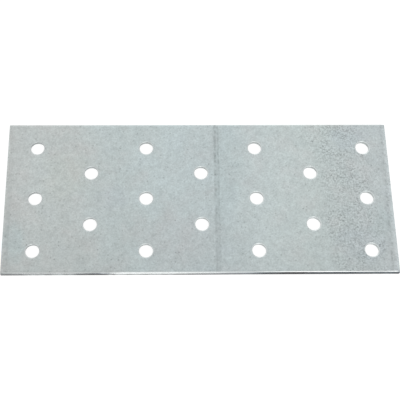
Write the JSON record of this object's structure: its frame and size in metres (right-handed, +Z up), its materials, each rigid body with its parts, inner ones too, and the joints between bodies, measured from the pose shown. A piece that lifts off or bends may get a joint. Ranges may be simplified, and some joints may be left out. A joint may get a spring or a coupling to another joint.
{
  "type": "mending plate",
  "caption": "Flat rectangular steel mending plate with staggered rows of round nail holes, zinc coated, for joining timbers end to end.",
  "frame": {"origin": "middle of the blank's outline, on the underside that lies on the timber", "axes": "+X along the length, +Y across the width to the rear edge, +Z up out of the punched face"},
  "size_m": [0.14, 0.058, 0.002],
  "materials": {
    "galvanised_steel": "hot-dip galvanised sheet, skin-passed to a dull, even grey"
  },
  "bodies": {
    "root": {"mending_plate": "galvanised_steel"}
  },
  "joints": []
}
